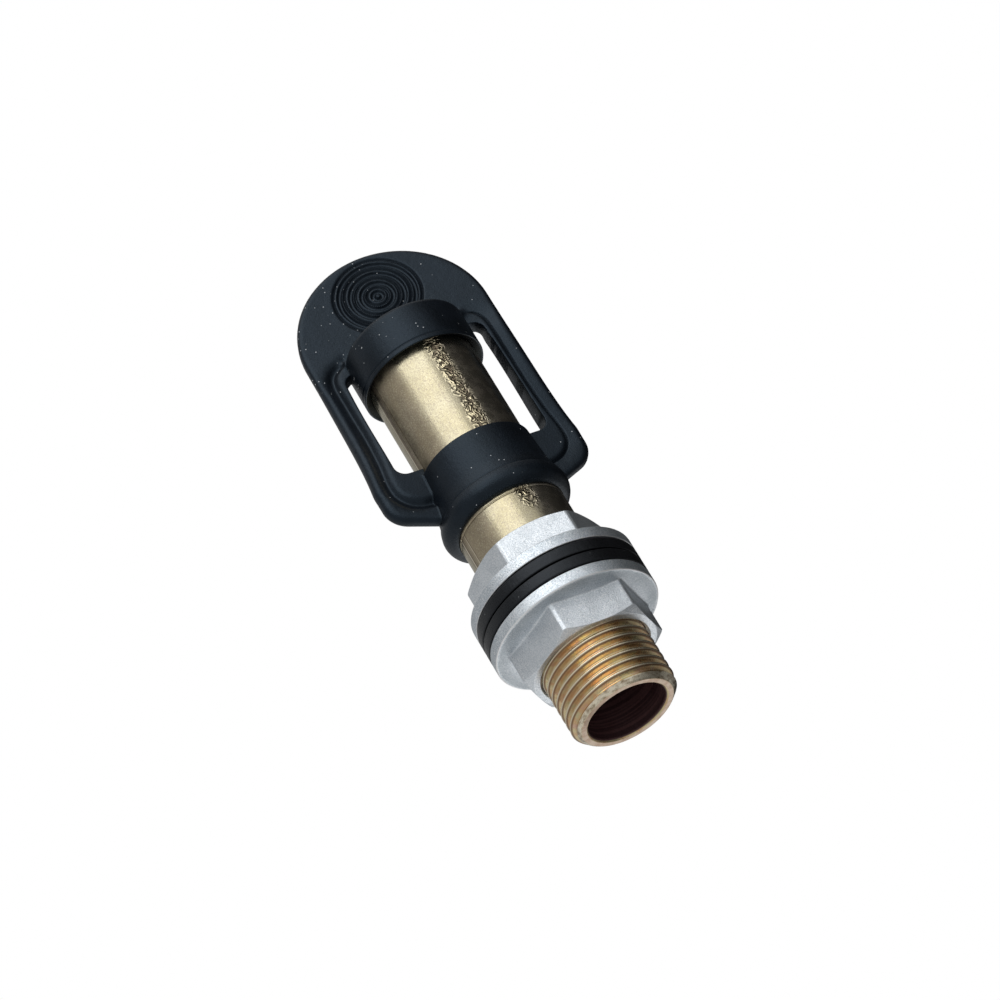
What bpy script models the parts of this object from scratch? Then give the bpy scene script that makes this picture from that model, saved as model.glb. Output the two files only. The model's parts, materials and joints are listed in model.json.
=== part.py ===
"""Beacon mounting spigot with a single-hole fixing and a rubber protective cap.

A plated steel tube of the standard 24 mm beacon size stands on a panel. Its lower end is threaded,
and two flange nuts clamp the panel between two rubber seals. A spring-loaded centre contact sits
inside the top of the tube, on a terminal that a cable pushed up the bore plugs on to. A one-piece
rubber cap closes the tube while no beacon is fitted: a cup over the end, a flat pull tab, two arms
and a retaining ring lower down.

Frame: metres, +Z along the tube from the threaded end to the cap, origin at the centre of the
threaded end face, and the cap's flat tab lies in the XZ plane.
"""
import math

import bmesh
import bpy
from mathutils import Matrix

# Lengths below are in millimetres; every mesh is scaled to metres once, in new_object.
MM = 0.001
GAP = 0.3                  # clearance between pieces that touch
ROUND = 32                 # facets round a turned piece

# Tube
TUBE_R = 12.0
TUBE_TOP = 100.6
BORE_R = 8.75
LIP_R = 7.7                # rolled-in lip at the top, which stops the insulator
LIP_Z = 99.2
CLIP_GROOVE_R = 9.45
CLIP_GROOVE_Z = (73.5, 75.2)
MARK_Z = 51.3              # shallow turned line round the tube

# M24 x 2 thread
PITCH = 2.0
THREAD_DEPTH = 1.1
THREAD_Z = (1.0, 41.4)
THREAD_FADE = 1.4          # length over which the thread grows to full depth at each end
THREAD_FORM = ((0.0, 0.0), (0.14, 0.0), (0.57, 1.0))   # fraction of a pitch, fraction of the depth
SEGMENTS = 30              # facets round the threaded tube

# Flange nuts and seals, stacked on the thread round the panel plane
PANEL_Z = 28.0
SEAL_R = 18.5
SEAL_T = 2.7
SEAL_BORE_R = TUBE_R + GAP
NUT_H = 10.7
NUT_AF = 27.6              # across the flats
NUT_BORE_R = TUBE_R + GAP
FLANGE_R = 18.5
FLANGE_RIM_T = 2.65
NUT_CHAMFER = math.radians(30)
UPPER_HEX_TURN = math.radians(-7)
LOWER_HEX_TURN = math.radians(3)

# Rubber cap
CAP_BORE_R = TUBE_R + GAP
RING_Z = (51.9, 68.5)
CUP_Z = (92.9, 103.6)
CUP_R = 13.8
TAB_HALF_T = 1.5
TAB_TOP_R = 21.2
TAB_TOP_Z = 105.9
TAB_CORNER_R = 5.6
TAB_CORNER = (17.5, 64.4)
TAB_FOOT_ANGLE = math.radians(-68)
TAB_FOOT_Z = 56.6          # where the flat part's foot runs into the ring
WINDOW_HALF_W = 16.3
WINDOW_Z = (70.2, 100.0)
WINDOW_CORNER_R = 2.2

# Centre contact, inside the top of the tube
INSULATOR_R = BORE_R - GAP
INSULATOR_Z = (78.3, LIP_Z - GAP)
SPRING_BORE_R = 4.6
NOSE_HOLE_R = 3.0
STEP_Z = 94.0              # the plunger's shoulder stops under this step
NOSE_R = 2.7
SHOULDER_R = 4.2
NOSE_TOP = 100.0
ORING_Z = 89.1
ORING_MEAN_R = 7.6
ORING_WIRE_R = 0.8
SPRING_MEAN_R = 3.3
SPRING_WIRE_R = 0.35
SPRING_TURNS = 5
PLUG_Z = (75.2, 78.0)
POST_R = 1.6
POST_HOLE_R = POST_R + GAP
POST_FLANGE_Z = (81.3, 83.0)
WASHER_Z = (74.0, 74.9)
EYELET_Z = (72.9, 73.7)
RIVET_Z = (71.4, 72.6)
BLADE_W = 6.3
BLADE_T = 0.8
BLADE_END_Z = 58.0
CLIP_Z = (73.8, 74.9)
CLIP_R = (7.4, 9.1)
CLIP_GAP = math.radians(64)

MATERIALS = {
    # name: (colour, roughness, metallic)
    "zinc_yellow": ((0.62, 0.47, 0.22, 1.0), 0.28, 1.0),
    "zinc_grey": ((0.62, 0.65, 0.67, 1.0), 0.45, 1.0),
    "black_rubber": ((0.020, 0.024, 0.028, 1.0), 0.55, 0.0),
    "black_plastic": ((0.030, 0.030, 0.033, 1.0), 0.40, 0.0),
    "brass": ((0.78, 0.60, 0.26, 1.0), 0.25, 1.0),
    "spring_steel": ((0.45, 0.46, 0.48, 1.0), 0.30, 1.0),
    "tinned_brass": ((0.72, 0.72, 0.70, 1.0), 0.25, 1.0),
}


def clear_scene():
    for obj in list(bpy.data.objects):
        bpy.data.objects.remove(obj, do_unlink=True)


def material(name):
    """The named material, a Principled BSDF made on first use."""
    found = bpy.data.materials.get(name)
    if found:
        return found
    colour, roughness, metallic = MATERIALS[name]
    made = bpy.data.materials.new(name)
    made.use_nodes = True
    shader = made.node_tree.nodes["Principled BSDF"]
    shader.inputs["Base Color"].default_value = colour
    shader.inputs["Roughness"].default_value = roughness
    shader.inputs["Metallic"].default_value = metallic
    made.diffuse_color = colour
    return made


def new_object(name, bm, material_name=None):
    """An object from a bmesh drawn in millimetres, with its faces turned outwards."""
    bmesh.ops.remove_doubles(bm, verts=bm.verts, dist=1e-4)
    bmesh.ops.recalc_face_normals(bm, faces=bm.faces)
    bmesh.ops.scale(bm, vec=(MM, MM, MM), verts=bm.verts)
    mesh = bpy.data.meshes.new(name)
    bm.to_mesh(mesh)
    bm.free()
    mesh.shade_smooth()
    mesh.set_sharp_from_angle(angle=math.radians(35))
    obj = bpy.data.objects.new(name, mesh)
    bpy.context.collection.objects.link(obj)
    if material_name:
        mesh.materials.append(material(material_name))
    return obj


def arc(centre, radius, start, end, steps):
    """Points along an arc, both ends included; angles in radians."""
    span = (end - start) / steps
    return [(centre[0] + radius * math.cos(start + span * i),
             centre[1] + radius * math.sin(start + span * i)) for i in range(steps + 1)]


def turned_bmesh(profile, closed=True, facets=ROUND):
    """A profile of (radius, z) points spun round +Z. An open profile starts and ends on the axis."""
    bm = bmesh.new()
    verts = [bm.verts.new((r, 0.0, z)) for r, z in profile]
    pairs = list(zip(verts, verts[1:]))
    if closed:
        pairs.append((verts[-1], verts[0]))
    edges = [bm.edges.new(pair) for pair in pairs]
    bmesh.ops.spin(bm, geom=verts + edges, cent=(0, 0, 0), axis=(0, 0, 1),
                   angle=2 * math.pi, steps=facets, use_merge=True)
    return bm


def turned(name, profile, material_name=None, closed=True, facets=ROUND):
    return new_object(name, turned_bmesh(profile, closed, facets), material_name)


def prism(name, outline, low, high, axis="Z", material_name=None):
    """A closed outline extruded from low to high along Z, or along Y for an outline in XZ."""
    bm = bmesh.new()
    if axis == "Z":
        verts = [bm.verts.new((a, b, low)) for a, b in outline]
        step = (0, 0, high - low)
    else:
        verts = [bm.verts.new((a, low, b)) for a, b in outline]
        step = (0, high - low, 0)
    base = bm.faces.new(verts)
    grown = bmesh.ops.extrude_face_region(bm, geom=[base], use_keep_orig=True)
    tops = [item for item in grown["geom"] if isinstance(item, bmesh.types.BMVert)]
    bmesh.ops.translate(bm, vec=step, verts=tops)
    return new_object(name, bm, material_name)


def combine(obj, other, operation):
    """Applies one exact Boolean to obj and removes the other object."""
    modifier = obj.modifiers.new("cut", "BOOLEAN")
    modifier.object = other
    modifier.operation = operation
    modifier.solver = "EXACT"
    evaluated = obj.evaluated_get(bpy.context.evaluated_depsgraph_get())
    result = bpy.data.meshes.new_from_object(evaluated)
    obj.modifiers.clear()
    obj.data = result
    obj.data.set_sharp_from_angle(angle=math.radians(35))
    bpy.data.objects.remove(other, do_unlink=True)
    return obj


def thread_depth_at(z):
    """Thread depth at a height: full along the thread, fading to nothing at both ends."""
    low, high = THREAD_Z
    fade = min(z - low, high - z) / THREAD_FADE
    return THREAD_DEPTH * min(1.0, max(0.0, fade))


def helical_rows(bm):
    """Grows the thread's surface as one helix; returns the vertex rings at its two ends.

    Each column of vertices climbs the thread at one angle, one pitch higher after a full turn.
    Vertices past an end of the thread fall on that end's ring.
    """
    low, high = THREAD_Z
    angles = [2 * math.pi * j / SEGMENTS for j in range(SEGMENTS)]
    bottom = [bm.verts.new((TUBE_R * math.cos(a), TUBE_R * math.sin(a), low)) for a in angles]
    top = [bm.verts.new((TUBE_R * math.cos(a), TUBE_R * math.sin(a), high)) for a in angles]
    points = len(THREAD_FORM)
    turns = math.ceil((high - low) / PITCH) + 1
    grid = []
    for row in range(-points, turns * points + 1):
        turn, step = divmod(row, points)
        fraction, depth = THREAD_FORM[step]
        line = []
        for j, angle in enumerate(angles):
            z = low + PITCH * (turn + fraction + j / SEGMENTS)
            if z <= low + 1e-6:
                line.append(bottom[j])
            elif z >= high - 1e-6:
                line.append(top[j])
            else:
                r = TUBE_R - depth * thread_depth_at(z)
                line.append(bm.verts.new((r * math.cos(angle), r * math.sin(angle), z)))
        grid.append(line)
    for i in range(len(grid) - 1):
        for j in range(SEGMENTS):
            if j + 1 < SEGMENTS:
                right = (grid[i][j + 1], grid[i + 1][j + 1])
            elif i + points + 1 < len(grid):
                right = (grid[i + points][0], grid[i + points + 1][0])
            else:
                right = (top[0], top[0])
            corners = list(dict.fromkeys((grid[i][j], right[0], right[1], grid[i + 1][j])))
            if len(corners) > 2 and not bm.faces.get(corners):
                bm.faces.new(corners)
    return bottom, top


def ring_of(bm, r, z):
    angles = (2 * math.pi * j / SEGMENTS for j in range(SEGMENTS))
    return [bm.verts.new((r * math.cos(a), r * math.sin(a), z)) for a in angles]


def bridge(bm, lower, upper):
    for j in range(SEGMENTS):
        k = (j + 1) % SEGMENTS
        bm.faces.new((lower[j], lower[k], upper[k], upper[j]))


def spigot_tube():
    bm = bmesh.new()
    thread_start, thread_end = helical_rows(bm)
    profile = [
        (TUBE_R, MARK_Z - 0.3), (TUBE_R - 0.25, MARK_Z - 0.1),
        (TUBE_R - 0.25, MARK_Z + 0.1), (TUBE_R, MARK_Z + 0.3),
        (TUBE_R, TUBE_TOP - 0.8), (TUBE_R - 0.6, TUBE_TOP),
        (LIP_R, TUBE_TOP), (LIP_R, LIP_Z), (BORE_R, LIP_Z),
        (BORE_R, CLIP_GROOVE_Z[1]), (CLIP_GROOVE_R, CLIP_GROOVE_Z[1]),
        (CLIP_GROOVE_R, CLIP_GROOVE_Z[0]), (BORE_R, CLIP_GROOVE_Z[0]),
        (BORE_R, 0.4), (BORE_R + 0.4, 0.0),
        (TUBE_R - 0.7, 0.0), (TUBE_R - 0.2, 0.3), (TUBE_R, 0.8),
    ]
    rings = [thread_end] + [ring_of(bm, r, z) for r, z in profile] + [thread_start]
    for lower, upper in zip(rings, rings[1:]):
        bridge(bm, lower, upper)
    return new_object("spigot_tube", bm, "zinc_yellow")


def flange_nut(name, hex_turn, face_z, flange_up):
    """A hexagon nut with a round flange. It is drawn with the flange's face at z = 0, hexagon up."""
    corner_r = NUT_AF / 2 / math.cos(math.radians(30))
    edge_r = NUT_AF / 2 + 0.2
    side = 1 if not flange_up else -1
    hexagon = [(corner_r * math.cos(side * hex_turn + math.radians(60 * i)),
                corner_r * math.sin(side * hex_turn + math.radians(60 * i))) for i in range(6)]
    nut = prism(name, hexagon, 1.4, NUT_H + 1.0, material_name="zinc_grey")
    chamfer_drop = (corner_r + 1.0 - edge_r) * math.tan(NUT_CHAMFER)
    dome = turned("dome", [(0, 1.0), (corner_r + 1.0, 1.0), (corner_r + 1.0, NUT_H - chamfer_drop),
                           (edge_r, NUT_H), (0, NUT_H)], closed=False, facets=48)
    combine(nut, dome, "INTERSECT")
    flange = turned("flange", [(0, 0), (FLANGE_R - 0.4, 0), (FLANGE_R, 0.4),
                               (FLANGE_R, FLANGE_RIM_T - 0.4), (FLANGE_R - 0.4, FLANGE_RIM_T),
                               (corner_r - 2.6, 3.6), (0, 3.6)], closed=False, facets=48)
    combine(nut, flange, "UNION")
    bore = turned("bore", [(0, -1), (NUT_BORE_R + 0.8, -1), (NUT_BORE_R + 0.8, 0.1),
                           (NUT_BORE_R, 0.9), (NUT_BORE_R, NUT_H - 0.9),
                           (NUT_BORE_R + 0.8, NUT_H - 0.1), (NUT_BORE_R + 0.8, NUT_H + 1),
                           (0, NUT_H + 1)], closed=False)
    combine(nut, bore, "DIFFERENCE")
    if flange_up:
        nut.data.transform(Matrix.Rotation(math.pi, 4, "X"))
    nut.location = (0, 0, face_z * MM)
    return nut


def seal(name, low):
    """A flat rubber washer with softened rims."""
    high = low + SEAL_T
    soft = 0.5
    return turned(name, [(SEAL_BORE_R, low), (SEAL_R - soft, low), (SEAL_R, low + soft),
                         (SEAL_R, high - soft), (SEAL_R - soft, high), (SEAL_BORE_R, high)],
                  "black_rubber", facets=48)


def tab_outline():
    """Half of the cap's flat outline, mirrored: foot, rounded corner, flared side and round top."""
    corner = arc(TAB_CORNER, TAB_CORNER_R, TAB_FOOT_ANGLE, 0.0, 7)
    top = arc((0, TAB_TOP_Z), TAB_TOP_R, 0.0, math.pi / 2, 14)
    right = [(0.0, TAB_FOOT_Z), (13.0, TAB_FOOT_Z)] + corner + top
    left = [(-x, z) for x, z in reversed(right[1:-1])]
    return right + left


def window_outline():
    """The opening between the arms; the cup and the tube fill its middle."""
    w, (low, high), r = WINDOW_HALF_W, WINDOW_Z, WINDOW_CORNER_R
    corners = ((w - r, low + r, -90), (w - r, high - r, 0), (r - w, high - r, 90), (r - w, low + r, 180))
    outline = []
    for x, z, start in corners:
        outline += arc((x, z), r, math.radians(start), math.radians(start + 90), 4)
    return outline


def rubber_cap():
    cap = prism("rubber_cap", tab_outline(), -TAB_HALF_T, TAB_HALF_T, "Y", "black_rubber")
    window = prism("window", window_outline(), -TAB_HALF_T - 1, TAB_HALF_T + 1, "Y")
    combine(cap, window, "DIFFERENCE")
    low, high = CUP_Z
    cup = turned("cup", [(0, high), (CUP_R - 2.2, high), (CUP_R - 0.7, high - 0.5),
                         (CUP_R, high - 1.8), (CUP_R, low + 0.4), (CUP_R - 0.4, low), (0, low)],
                 closed=False, facets=40)
    combine(cap, cup, "UNION")
    low, high = RING_Z
    ring = turned("ring", [(0, high), (12.75, high), (12.95, 64.0), (13.3, 59.5), (13.9, 56.6),
                           (14.5, 55.8), (14.6, 54.4), (14.2, 53.2), (13.2, low + 0.5), (12.6, low),
                           (0, low)], closed=False, facets=40)
    combine(cap, ring, "UNION")
    bore = turned("bore", [(0, low - 5), (CAP_BORE_R, low - 5), (CAP_BORE_R, TUBE_TOP + GAP),
                           (0, TUBE_TOP + GAP)], closed=False, facets=40)
    return combine(cap, bore, "DIFFERENCE")


def contact_insulator():
    groove_r = ORING_MEAN_R - ORING_WIRE_R - GAP
    half = ORING_WIRE_R + GAP
    low, high = INSULATOR_Z
    return turned("contact_insulator", [
        (SPRING_BORE_R, low), (INSULATOR_R, low), (INSULATOR_R, ORING_Z - half),
        (groove_r, ORING_Z - half), (groove_r, ORING_Z + half), (INSULATOR_R, ORING_Z + half),
        (INSULATOR_R, high), (NOSE_HOLE_R + 0.8, high), (NOSE_HOLE_R, high - 0.8),
        (NOSE_HOLE_R, STEP_Z), (SPRING_BORE_R, STEP_Z)], "black_plastic")


def insulator_o_ring():
    section = arc((ORING_MEAN_R, ORING_Z), ORING_WIRE_R, 0, 2 * math.pi, 8)[:-1]
    return turned("insulator_o_ring", section, "black_rubber", facets=24)


def contact_plunger():
    shoulder_top = STEP_Z - GAP
    plunger = turned("contact_plunger", [
        (0, 88.5), (1.9, 88.5), (2.2, 88.8), (2.2, 91.0), (SHOULDER_R, 91.0),
        (SHOULDER_R, shoulder_top), (NOSE_R, shoulder_top), (NOSE_R, NOSE_TOP - 1.2),
        (NOSE_R - 0.6, NOSE_TOP - 0.4), (1.0, NOSE_TOP), (0, NOSE_TOP)],
        "brass", closed=False, facets=20)
    return plunger


def contact_spring():
    """A closed helical wire between the post's flange and the plunger's shoulder."""
    low = POST_FLANGE_Z[1] + GAP + SPRING_WIRE_R
    high = 91.0 - GAP - SPRING_WIRE_R
    steps = 12 * SPRING_TURNS
    bm = bmesh.new()
    loops = []
    for i in range(steps + 1):
        angle = 2 * math.pi * SPRING_TURNS * i / steps
        z = low + (high - low) * i / steps
        loop = []
        for k in range(6):
            around = 2 * math.pi * k / 6
            r = SPRING_MEAN_R + SPRING_WIRE_R * math.cos(around)
            loop.append(bm.verts.new((r * math.cos(angle), r * math.sin(angle),
                                      z + SPRING_WIRE_R * math.sin(around))))
        loops.append(loop)
    for lower, upper in zip(loops, loops[1:]):
        for k in range(6):
            n = (k + 1) % 6
            bm.faces.new((lower[k], lower[n], upper[n], upper[k]))
    bm.faces.new(loops[0])
    bm.faces.new(loops[-1])
    return new_object("contact_spring", bm, "spring_steel")


def insulator_plug():
    low, high = PLUG_Z
    return turned("insulator_plug", [
        (POST_HOLE_R, low), (INSULATOR_R, low), (INSULATOR_R, high),
        (SPRING_BORE_R - GAP, high), (SPRING_BORE_R - GAP, POST_FLANGE_Z[0] - GAP),
        (POST_HOLE_R, POST_FLANGE_Z[0] - GAP)], "black_plastic")


def terminal_post():
    """The brass post under the spring, riveted over below the blade terminal."""
    return turned("terminal_post", [
        (0, RIVET_Z[0]), (2.2, RIVET_Z[0]), (2.6, RIVET_Z[0] + 0.4), (2.6, RIVET_Z[1]),
        (POST_R, RIVET_Z[1]), (POST_R, POST_FLANGE_Z[0]), (SHOULDER_R, POST_FLANGE_Z[0]),
        (SHOULDER_R, POST_FLANGE_Z[1]), (2.2, POST_FLANGE_Z[1]), (2.2, 84.2), (1.9, 84.5),
        (0, 84.5)], "brass", closed=False, facets=20)


def terminal_washer():
    low, high = WASHER_Z
    return turned("terminal_washer", [(POST_HOLE_R, low), (4.0, low), (4.0, high),
                                      (POST_HOLE_R, high)], "spring_steel", facets=20)


def blade_terminal():
    """A round eyelet under the washer with a 6.3 mm blade bent down from its edge."""
    low, high = EYELET_Z
    half = BLADE_W / 2
    bend_x = 4.6
    eyelet = arc((0, 0), 4.0, math.radians(52), math.radians(308), 16)
    outline = eyelet + [(bend_x, -half), (bend_x, half)]
    terminal = prism("blade_terminal", outline, low, high, material_name="tinned_brass")
    tip = 1.2
    blade = [(half - tip, BLADE_END_Z), (half, BLADE_END_Z + tip), (half, high - 0.2),
             (-half, high - 0.2), (-half, BLADE_END_Z + tip), (tip - half, BLADE_END_Z)]
    tab = prism("tab", blade, 0, BLADE_T, "Y")
    tab.data.transform(Matrix.Rotation(math.radians(-90), 4, "Z"))
    tab.data.transform(Matrix.Translation(((bend_x - 0.05 - BLADE_T) * MM, 0, 0)))
    combine(terminal, tab, "UNION")
    hole = turned("hole", [(0, low - 1), (POST_HOLE_R, low - 1), (POST_HOLE_R, high + 1),
                           (0, high + 1)], closed=False, facets=20)
    return combine(terminal, hole, "DIFFERENCE")


def retaining_clip():
    """An internal circlip: an open ring with a drilled lug at each end."""
    inner, outer = CLIP_R
    start = -math.pi / 2 + CLIP_GAP / 2
    end = 1.5 * math.pi - CLIP_GAP / 2
    outline = (arc((0, 0), outer, start, end, 24) + arc((0, 0), inner, end, start, 24))
    clip = prism("retaining_clip", outline, *CLIP_Z, material_name="spring_steel")
    lug_r, hole_r = 1.7, 0.7
    for angle in (start, end):
        x = (inner + 0.1) * math.cos(angle)
        y = (inner + 0.1) * math.sin(angle)
        lug = prism("lug", arc((x, y), lug_r, 0, 2 * math.pi, 14)[:-1], *CLIP_Z)
        combine(clip, lug, "UNION")
        hole = prism("hole", arc((x, y), hole_r, 0, 2 * math.pi, 10)[:-1],
                     CLIP_Z[0] - 1, CLIP_Z[1] + 1)
        combine(clip, hole, "DIFFERENCE")
    return clip


def build():
    clear_scene()
    spigot_tube()
    half_gap = GAP / 2
    lower_seal_z = PANEL_Z - half_gap - SEAL_T
    upper_seal_z = PANEL_Z + half_gap
    seal("upper_seal", upper_seal_z)
    seal("lower_seal", lower_seal_z)
    flange_nut("upper_flange_nut", UPPER_HEX_TURN, upper_seal_z + SEAL_T + GAP, flange_up=False)
    flange_nut("lower_flange_nut", LOWER_HEX_TURN, lower_seal_z - GAP, flange_up=True)
    rubber_cap()
    contact_insulator()
    insulator_o_ring()
    contact_plunger()
    contact_spring()
    insulator_plug()
    terminal_post()
    terminal_washer()
    blade_terminal()
    retaining_clip()


build()
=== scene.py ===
"""Looks of the beacon mounting spigot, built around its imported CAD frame.

The tube, both flange nuts, both seals, the rubber cap and the turned pieces of the centre contact
are remade here at full detail in the place of their CAD nodes. The blade terminal and the clip keep
their CAD shape. Shapes are worked out in millimetres in the CAD's own frame: +Z runs up the tube
towards the cap, and the cap's flat tab faces -Y.
"""

import json
import math

import bmesh
import bpy
import numpy as np
from mathutils import Matrix, Vector
from mathutils.geometry import delaunay_2d_cdt

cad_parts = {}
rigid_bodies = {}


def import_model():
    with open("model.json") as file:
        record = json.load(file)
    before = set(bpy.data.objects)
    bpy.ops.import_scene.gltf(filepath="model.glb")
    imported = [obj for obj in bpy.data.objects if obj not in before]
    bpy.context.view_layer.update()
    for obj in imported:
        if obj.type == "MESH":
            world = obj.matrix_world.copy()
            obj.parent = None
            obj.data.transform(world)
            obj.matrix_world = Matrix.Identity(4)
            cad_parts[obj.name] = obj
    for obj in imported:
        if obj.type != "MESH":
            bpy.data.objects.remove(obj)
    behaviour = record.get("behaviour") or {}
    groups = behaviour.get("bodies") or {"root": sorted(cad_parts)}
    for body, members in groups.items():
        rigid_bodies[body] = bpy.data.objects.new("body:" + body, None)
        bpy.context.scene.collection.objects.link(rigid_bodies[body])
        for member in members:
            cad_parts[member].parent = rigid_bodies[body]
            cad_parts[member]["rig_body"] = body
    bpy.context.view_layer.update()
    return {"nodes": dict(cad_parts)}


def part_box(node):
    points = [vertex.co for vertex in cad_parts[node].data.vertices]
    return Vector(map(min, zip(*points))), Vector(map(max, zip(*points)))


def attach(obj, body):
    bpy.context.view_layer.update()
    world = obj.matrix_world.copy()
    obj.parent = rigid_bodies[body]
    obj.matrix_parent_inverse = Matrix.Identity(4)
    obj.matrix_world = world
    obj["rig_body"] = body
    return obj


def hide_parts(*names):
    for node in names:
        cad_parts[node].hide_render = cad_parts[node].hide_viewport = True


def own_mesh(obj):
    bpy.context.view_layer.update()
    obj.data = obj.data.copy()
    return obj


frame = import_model()

MM = 0.001
TAU = 2 * math.pi


def cad_range(node):
    """Lowest and highest Z of a CAD node, in millimetres."""
    low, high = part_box(node)
    return low.z / MM, high.z / MM


def cad_radius(node):
    """Largest X of a CAD node, in millimetres."""
    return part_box(node)[1].x / MM


# ---- Driving sizes, in millimetres ----

# Tube
TUBE_R = 12.0
TUBE_FACETS = 144
TUBE_TOP = cad_range("spigot_tube")[1]
BORE_R = 8.75
LIP_R = 7.7
LIP_DEPTH = 1.4
CLIP_GROOVE = (9.45, 73.5, 75.2)  # radius, low, high
MARK_Z = 51.3  # fine turned line round the tube
MARK_HALF = 0.25
MARK_DEPTH = 0.16
END_R = 10.4  # outer radius of the flat end face
THREAD_LOW = 0.3
THREAD_HIGH = 41.4
WRINKLE_ANGLE = math.radians(-82)  # where the plating is wrinkled; the wrinkles' curls also get painted highlights and painted shade
STAIN_ANGLE = math.radians(-150)  # where it is browner
DRAWN_ANGLE = math.radians(-170)  # where drawing lines show, with painted highlights and painted shade along them
REFLECTION_TINT_ANGLE = math.radians(-42)  # where the dark side gets a painted reflection tint
WRINKLE_Z = (45.0, 50.0)  # the wrinkles fade in over this height
GOLD_Z = (26.0, 44.0)  # the thread's gold fades out over this height
BORE_DARK_Z = (98.5, 97.0)  # the bore's painted shade fades in below the lip

# M24 x 2 thread: share of a pitch, share of the depth
PITCH = 2.0
THREAD_DEPTH = 1.12
THREAD_FORM = ((0.00, 0.05), (0.045, 0.0), (0.09, 0.0), (0.135, 0.05), (0.19, 0.20), (0.30, 0.55),
               (0.40, 0.86), (0.46, 0.97), (0.53, 1.0), (0.60, 0.97), (0.68, 0.84), (0.80, 0.50),
               (0.90, 0.20))
THREAD_RUNOUT = 1.6
THREAD_AZIMUTH = math.radians(233)  # where a crest crosses THREAD_LOW
NUT_THREAD_CLEARANCE = 0.16
NUT_MINOR_R = 11.05
NUT_MOUTH_R = 12.55  # countersink of the nut's bore at each face

# Flange nuts, drawn with the flange's face at z = 0 and the hexagon up
NUT_H = cad_range("upper_flange_nut")[1] - cad_range("upper_flange_nut")[0]
NUT_FLAT_R = 13.8
NUT_CORNER_R = 15.74  # corners are turned down a little
NUT_CHAMFER_R = 13.9
NUT_CHAMFER = math.radians(30)
FLANGE_R = cad_radius("upper_seal")
PANEL_Z = 28.0  # where the two seals meet
FLANGE_RIM = 2.65
FLANGE_RISE = 0.19  # slope of the flange's upper face
HEX_START = (6.0, 6.6)  # distance from PANEL_Z where the flange gives way to the hexagon
UPPER_HEX_TURN = math.radians(-7)
LOWER_HEX_TURN = math.radians(3)

# Rubber cap
CAP_LOW, CAP_HIGH = cad_range("rubber_cap")
CAP_BORE_R = 12.08
CUP_R = 13.8
CUP_LOW, CUP_HIGH = 92.9, 103.6
CUP_FLOOR = TUBE_TOP + 0.25
CUP_LINE_Z = CUP_LOW + 1.15  # fine line round the cup's mouth
CUP_LINE_HALF = 0.25
CUP_LINE_DEPTH = 0.18
CUP_LIP = 0.35  # width of the flat edge round the cup's mouth
CUP_MOUTH_Z = CUP_LOW + 1.2  # inner end of the sloped edge inside it
CAP_CUT_Z = 45.0  # the bore's cutter starts here, clear below the ring
RING_TOP_Z = 68.5
RING_LOW_Z = 51.9
RING_PROFILE = ((12.70, RING_TOP_Z, 0.5), (12.95, 64.0, 3.0), (13.25, 59.6, 2.0), (13.75, 57.05, 0.3),
                (13.72, 56.7, 0.1), (14.15, 56.45, 0.3), (14.62, 54.6, 1.2), (14.20, 53.1, 0.9),
                (12.95, 52.1, 0.5))
TAB_T = 1.5  # half the tab's thickness
TAB_TOP_R = 21.2
TAB_TOP_Z = 106.1
TAB_FLARE = 2.4  # how much wider the arms stand at the bottom
TAB_FLARE_Z = 69.0
TAB_FLARE_POWER = 2.2
TAB_CORNER = (18.0, 64.6)
TAB_CORNER_R = 5.6
TAB_FOOT_ANGLE = math.radians(-68)
TAB_FOOT_Z = 56.6
TAB_EDGE_R = 1.15  # rounding of the outer edge
ARM_SWELL = 0.4  # the arms are this much thicker on each face
ARM_EDGE_SWELL = 0.6  # and their outer edge is rounder by this much
ARM_LOW_FADE = (58, 65)  # the swell fades in and out over these heights
ARM_HIGH_FADE = (96, 102)
CUP_FILLET = 2.0
CUP_FILLET_Z = (101.5, 104.0)  # the fillet fades in over this height, above the windows
RING_FILLET = 0.3
RING_FILLET_TOP = 72
WINDOW_Z = (70.2, 100.0)
WINDOW_RIGHT = (17.75, 16.4)  # distance from the middle at the bottom and at the top
WINDOW_LEFT = (17.15, 15.65)
WINDOW_DRAFT = 0.6  # slope of the right arm's inner wall, front to back
WINDOW_CORNER_R = 2.4
WINDOW_EDGE_R = 0.28
ARM_GROOVE = ((13.0, 61.9), (15.8, 62.3), (18.2, 63.6), (19.9, 66.2), (20.1, 70.0), (19.2, 76.0),
              (18.4, 84.0), (18.05, 93.0), (17.8, 99.6), (16.4, 102.5), (13.2, 103.9))
LEFT_DISH = (1.05, 1.25, 0.85)  # depth, reach towards the outer edge, reach towards the window
RIGHT_DISH = (0.5, 1.9, 0.45)
ARM_RIM = 0.16  # height of the rim between the groove and the window
RIGHT_LINE = (0.30, 0.22)  # depth and half-width of the fine line in the right arm's groove
GRIP_CENTRE = (0.3, 116.0)
GRIP_PITCH = 2.40  # one wide and one narrow groove in each pitch
GRIP_WIDE = (1.0, 0.62, 0.45, 4)  # radius of the first, depth, half-width, power: 4 is flat-bottomed
GRIP_NARROW = (2.30, 0.46, 0.27, 2)
GRIP_COUNT = 4
CAP_TWIST = math.radians(5)  # the arms are twisted: the ring one way, the tab the other
TWIST_Z = (68.0, 98.0)

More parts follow.
